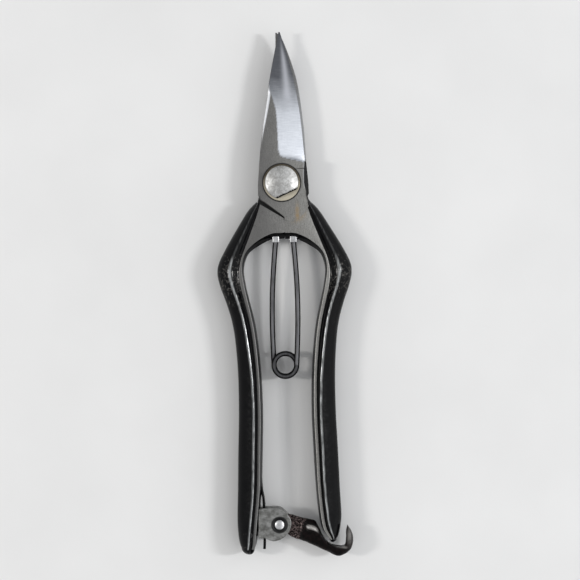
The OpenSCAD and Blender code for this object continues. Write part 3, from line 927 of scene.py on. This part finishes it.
# ---------------------------------------------------------------- the spring
def make_spring():
    """Coil and two legs, each bowed on its way from its half's socket to the coil."""
    pitch, turns = 2.2, 1.5
    leg_steps, coil_steps = 56, 64       # along a leg, and round one turn
    rise = pitch * turns / 2
    leg_top = SPRING_HI[1]
    left_box, right_box = box_mm("left_spring_socket"), box_mm("right_spring_socket")
    tops = {1: (right_box[0][0] + right_box[1][0]) / 2, -1: (left_box[0][0] + left_box[1][0]) / 2}

    def leg(side):
        x0, x1 = tops[side], side * COIL_R
        path = []
        for k in range(leg_steps + 1):
            t = k / leg_steps
            bow = math.sin(math.pi * t) * side
            x = x0 + (x1 - x0) * t + bow
            path.append((x, leg_top + (COIL_Y - leg_top) * t, MID + side * rise * t))
        return path

    coil = []
    for k in range(int(coil_steps * turns) + 1):
        a = -2 * math.pi * k / coil_steps
        z = MID + rise - pitch * k / coil_steps
        coil.append((COIL_R * math.cos(a), COIL_R * math.sin(a) + COIL_Y, z))
    body = tube("main_spring_coil", coil, WIRE_R, 36, 0.4)
    finish_piece(body, "spring", "pivot", "black_spring_wire", "main_spring")
    for side, half in ((1, "right"), (-1, "left")):
        piece = tube(f"main_spring_{half}_leg", leg(side), WIRE_R, 36)
        piece.data.materials.append(LOOKS["spring"])
        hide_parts("main_spring")
        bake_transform(piece)


def make_sockets():
    """The two square blocks that hold the spring's legs."""
    for half in ("left", "right"):
        lo, hi = box_mm(f"{half}_spring_socket")
        outline = [(lo[0], lo[1]), (hi[0], lo[1]), (hi[0], hi[1]), (lo[0], hi[1])]
        piece = plate(f"{half}_spring_socket_block", outline, lo[2], hi[2], 0.28, 3)
        finish_piece(piece, "bright", f"{half}_half", "bright_steel", f"{half}_spring_socket")


# ---------------------------------------------------------------- the latch
# Outlines seen from above: the bracket's round nose, and the hook's two sides.
NOSE = [(-8.4, -121.4), (-3.0, -121.6), (0.5, -125.0), (0.9, -128.4), (-1.4, -132.2), (-5.5, -133.8),
        (-8.9, -132.6)]
HOOK_UPPER = [(4.2, -125.3), (6.9, -125.9), (9.8, -126.7), (11.3, -129.2), (13.0, -133.0),
              (15.0, -135.2), (17.8, -136.3), (20.4, -136.4), (21.4, -134.0), (21.4, -131.0),
              (21.9, -128.7)]
HOOK_LOWER = [(3.9, -133.6), (9.2, -135.9), (14.0, -138.2), (18.6, -140.1), (22.6, -138.2),
              (24.1, -134.6), (23.6, -131.2), (22.3, -128.8)]
NECK_UPPER = [(-1.0, -124.0), (2.0, -124.5), (8.0, -126.8)]
NECK_LOWER = [(-1.0, -131.2), (2.0, -132.9), (8.0, -135.0)]


def make_bracket():
    """Two plates with a web, folded round the hook's eye, and a recess for the rivet."""
    web_x, web_t, web_top, web_foot = -10.9, 2.1, -121.9, -132.4
    side_h = 1.6                         # half of the gap between the plates
    plate_t = 1.4
    tang = 0.3                           # how far the plates run into the grip past the web
    outline = [(web_x - tang, -121.7)] + [tuple(p) for p in curve(NOSE, 8)] + [(web_x - tang, -132.6)]
    top = plate("latch_bracket_top", outline, MID + side_h, MID + side_h + plate_t, 0.3)
    floor = MID + side_h + plate_t - 0.5
    recess = [(0, floor), (2.7, floor), (3.05, MID + 8), (0, MID + 8)]
    cut(top, lathe("recess", recess, RIVET_AT, 64))
    low = plate("latch_bracket_low", outline, MID - side_h - plate_t, MID - side_h, 0.3)
    outline = [(web_x, web_top), (web_x + web_t, web_top), (web_x + web_t, web_foot), (web_x, web_foot)]
    web = plate("latch_bracket_web", outline, MID - side_h - 0.5, MID + side_h + 0.5, 0.1)
    for piece in (top, low, web):
        finish_piece(piece, "bracket", "left_half", "bracket_steel", "latch_bracket")


def make_rivets():
    """The domed rivet that the hook turns on, and the bracket's flush rivet."""
    seat, foot = MID + 3.0, MID - 3.0    # outer faces of the bracket's plates
    dome_r, pin_r, foot_r = 1.8, 1.3, 2.0
    x, y = RIVET_AT[0], RIVET_AT[1]
    profile = [(0, RIVET_LO[2]), (1.5, RIVET_LO[2]), (foot_r, RIVET_LO[2] + 0.4), (foot_r, foot),
               (pin_r, foot), (pin_r, seat - 0.5), (dome_r, seat - 0.5), (dome_r, seat - 0.2)]
    profile += [(dome_r * math.cos(a), seat - 0.2 + (RIVET_HI[2] - seat + 0.2) * math.sin(a))
                for a in [k * math.pi / 16 for k in range(1, 8)]]
    profile.append((0, RIVET_HI[2]))
    piece = lathe("latch_rivet_dome", profile, (x, y), 64)
    roughen(piece, 1.5, 0.03, 5.0)
    finish_piece(piece, "bright", "left_half", "bright_steel", "latch_rivet")
    lo, hi = box_mm("bracket_rivet")
    c = (lo + hi) / 2
    r = (hi[0] - lo[0]) / 2
    profile = [(0, lo[2]), (r - 0.2, lo[2]), (r, lo[2] + 0.2), (r, hi[2] - 0.2), (r - 0.2, hi[2]),
               (0, hi[2])]
    pin = lathe("bracket_rivet_pin", profile, (c[0], c[1]), 40)
    finish_piece(pin, "lacquer", "left_half", "black_lacquer", "bracket_rivet")


def rounded_section(u, w, half_h, power, sides=28):
    """A rounded section between two outline points, with a given half height."""
    c = (np.asarray(u) + np.asarray(w)) / 2
    r = (np.asarray(u) - np.asarray(w)) / 2
    ring = []
    for k in range(sides):
        a = 2 * math.pi * k / sides
        ca, sa = math.cos(a), math.sin(a)
        x = math.copysign(abs(ca) ** (2 / power), ca)
        z = math.copysign(abs(sa) ** (2 / power), sa)
        ring.append((c[0] + r[0] * x, c[1] + r[1] * x, MID + half_h * z))
    return ring


def make_hook():
    """The hook's eye and thin neck, and its thick humped body and U."""
    tall = HOOK_HI[2] - HOOK_LO[2]
    neck_h, body_h = tall * 0.29, tall / 2
    step_h = 1.2                         # half height of the body where the neck enters it
    upper, lower = curve(HOOK_UPPER, 12), curve(HOOK_LOWER, 12)
    steps = 130
    rings = []
    for k in range(steps + 1):
        t = k / steps
        u = along(upper, t * (len(upper) - 1))
        w = along(lower, t * (len(lower) - 1))
        swell = smooth(0.35 + t / 0.08) * (1 - 0.45 * smooth((t - 0.62) / 0.38))
        rings.append(rounded_section(u, w, step_h + (body_h - step_h) * swell, 2.4, 40))
    body = loft("latch_hook_body", rings, 60.0)
    roughen(body, 2.6, 0.14, 2.0)
    neck_u, neck_l = curve(NECK_UPPER, 16), curve(NECK_LOWER, 16)
    rings = [rounded_section(u, w, neck_h, 5.0, 60) for u, w in zip(neck_u, neck_l)]
    neck = loft("latch_hook_neck", rings, 50.0)
    roughen(neck, 1.3, 0.12, 7.0)
    hole, rim = 1.36, 3.9
    profile = [(hole, MID - neck_h), (rim - 0.2, MID - neck_h), (rim, MID - neck_h + 0.2),
               (rim, MID + neck_h - 0.2), (rim - 0.2, MID + neck_h), (hole, MID + neck_h),
               (hole, MID - neck_h)]
    eye = lathe("latch_hook_eye", profile, RIVET_AT, 64)

    def step_line(y):
        """X of the step between neck and body."""
        return float(np.interp(y, (-134.5, -131.0, -128.5, -125.5), (4.3, 4.6, 5.6, 7.4)))

    # Painted shadow: a black line tagged along the step where the neck meets the body.
    def step_shadow(x, y, z):
        return math.exp(-((x - step_line(y)) / 0.45) ** 2) if z > MID + 0.8 else 0.0

    # Painted highlight: bright streaks tagged on the hump's top, the U's bend and the pocket's floor
    # rim, where the light glints on them.
    def highlight_mask(x, y, z):
        if z < MID:
            return 0.0
        arch = -128.75 - 0.10 * (x - 7.2) ** 2
        hump = math.exp(-((y - arch) / 0.42) ** 2)
        hump *= smooth((x - 6.4) / 0.8) * smooth((11.4 - x) / 1.4)
        bend = 0.25 * math.exp(-((x - 22.6) / 0.8) ** 2 - ((y + 132.5) / 2.6) ** 2)
        floor = 0.3 * math.exp(-((y + 136.3 + 0.2 * (x - 19.5)) / 0.45) ** 2)
        floor *= smooth((x - 16.5) / 2) * smooth((22.5 - x) / 2)
        return max(hump, bend, floor)

    for piece in (body, neck, eye):
        tag(piece, "worn", lambda x, y, z: smooth((step_line(y) + 0.3 - x) / 0.6))
        tag(piece, "step_shadow", step_shadow)
        tag(piece, "highlight_mask", highlight_mask)
        finish_piece(piece, "hook", "latch", "hook_iron", "latch_hook")


def make_latch_spring():
    """Thin wire from the left grip's inner wall, through the bracket, to a free tail."""
    route = [(-10.4, -90), (-9.6, -92), (-9.6, -98), (-9.9, -104), (-10.0, -109), (-9.8, -114),
             (-9.2, -118), (-9.0, -122), (-9.0, -132), (-9.2, -137)]
    path = curve([(x, y, MID) for x, y in route], 8)
    piece = tube("latch_spring_wire", path, 0.5, 16, 0.0)
    piece.data.materials.append(LOOKS["spring"])
    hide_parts("latch_spring")
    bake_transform(piece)


# ---------------------------------------------------------------- floor and light
def make_floor():
    """A wide sheet just under the snips."""
    size, air = 3.0, 0.0002              # half width and air, in metres
    data = bpy.data.meshes.new("floor")
    z = cad_lo.z - air
    corners = [(-size, -size, z), (size, -size, z), (size, size, z), (-size, size, z)]
    data.from_pydata(corners, [], [(0, 1, 2, 3)])
    floor = bpy.data.objects.new("floor", data)
    bpy.context.scene.collection.objects.link(floor)
    data.materials.append(floor_look())


def area_light(name, place, aim, size, watts, colour):
    """A softbox at a place, turned to shine on the aim."""
    data = bpy.data.lights.new(name, "AREA")
    data.shape = "RECTANGLE"
    data.size, data.size_y = size
    data.energy = watts
    data.color = colour
    lamp = bpy.data.objects.new(name, data)
    bpy.context.scene.collection.objects.link(lamp)
    lamp.location = place
    lamp.rotation_euler = (Vector(aim) - Vector(place)).to_track_quat("-Z", "Y").to_euler()


def sky_lobe(nodes, links, along, low, high, amount, base):
    """Adds light to one side of the room: it grows from low to high along an axis."""
    node = nodes.new("ShaderNodeMapRange")
    node.interpolation_type = "SMOOTHSTEP"
    node.inputs["From Min"].default_value = low
    node.inputs["From Max"].default_value = high
    node.inputs["To Max"].default_value = amount
    links.new(along, node.inputs["Value"])
    add = nodes.new("ShaderNodeMath")
    links.new(node.outputs["Result"], add.inputs[0])
    if isinstance(base, float):
        add.inputs[1].default_value = base
    else:
        links.new(base, add.inputs[1])
    return add.outputs[0]


def make_light():
    """Two low softboxes that throw the side shadows, in an even room that is
    brighter towards its right wall."""
    aim = (cad_lo + cad_hi) / 2
    reach, rise = 1.06, 0.76
    warm, cool = (1.0, 0.98, 0.95), (0.98, 0.99, 1.0)
    area_light("left_softbox", (aim.x - reach, aim.y + 0.05, rise), aim, (0.11, 0.20), 4.6, warm)
    area_light("right_softbox", (aim.x + reach, aim.y + 0.05, rise), aim, (0.11, 0.20), 6.0, cool)
    world = bpy.data.worlds.new("studio")
    world.use_nodes = True
    nodes, links = world.node_tree.nodes, world.node_tree.links
    way = nodes.new("ShaderNodeTexCoord")
    split = nodes.new("ShaderNodeSeparateXYZ")
    links.new(way.outputs["Generated"], split.inputs[0])
    glow = sky_lobe(nodes, links, split.outputs["X"], 0.30, 0.62, 0.85, 0.50)
    glow = sky_lobe(nodes, links, split.outputs["X"], -0.40, -0.80, 0.35, glow)
    back = nodes["Background"]
    back.inputs["Color"].default_value = (0.97, 0.985, 1.0, 1.0)
    links.new(glow, back.inputs["Strength"])
    bpy.context.scene.world = world
    bpy.context.scene.view_settings.view_transform = "Standard"


make_camera()
make_grip("right_grip", 1, RIGHT_END, "right_half", "black_lacquer", "right_half")
make_grip("left_grip", -1, LEFT_END, "left_half", "black_lacquer", "left_half")
make_blade("upper_blade", RIGHT_LAP, RIGHT_SPINE, RIGHT_EDGE, 1,
           "right_half", "ground_steel", "right_half")
make_blade("lower_blade", LEFT_LAP, LEFT_SPINE, LEFT_EDGE, -1,
           "left_half", "ground_steel", "left_half")
make_bolt()
make_washers()
make_nut()
make_spring()
make_sockets()
make_bracket()
make_rivets()
make_hook()
make_latch_spring()
make_floor()
make_light()
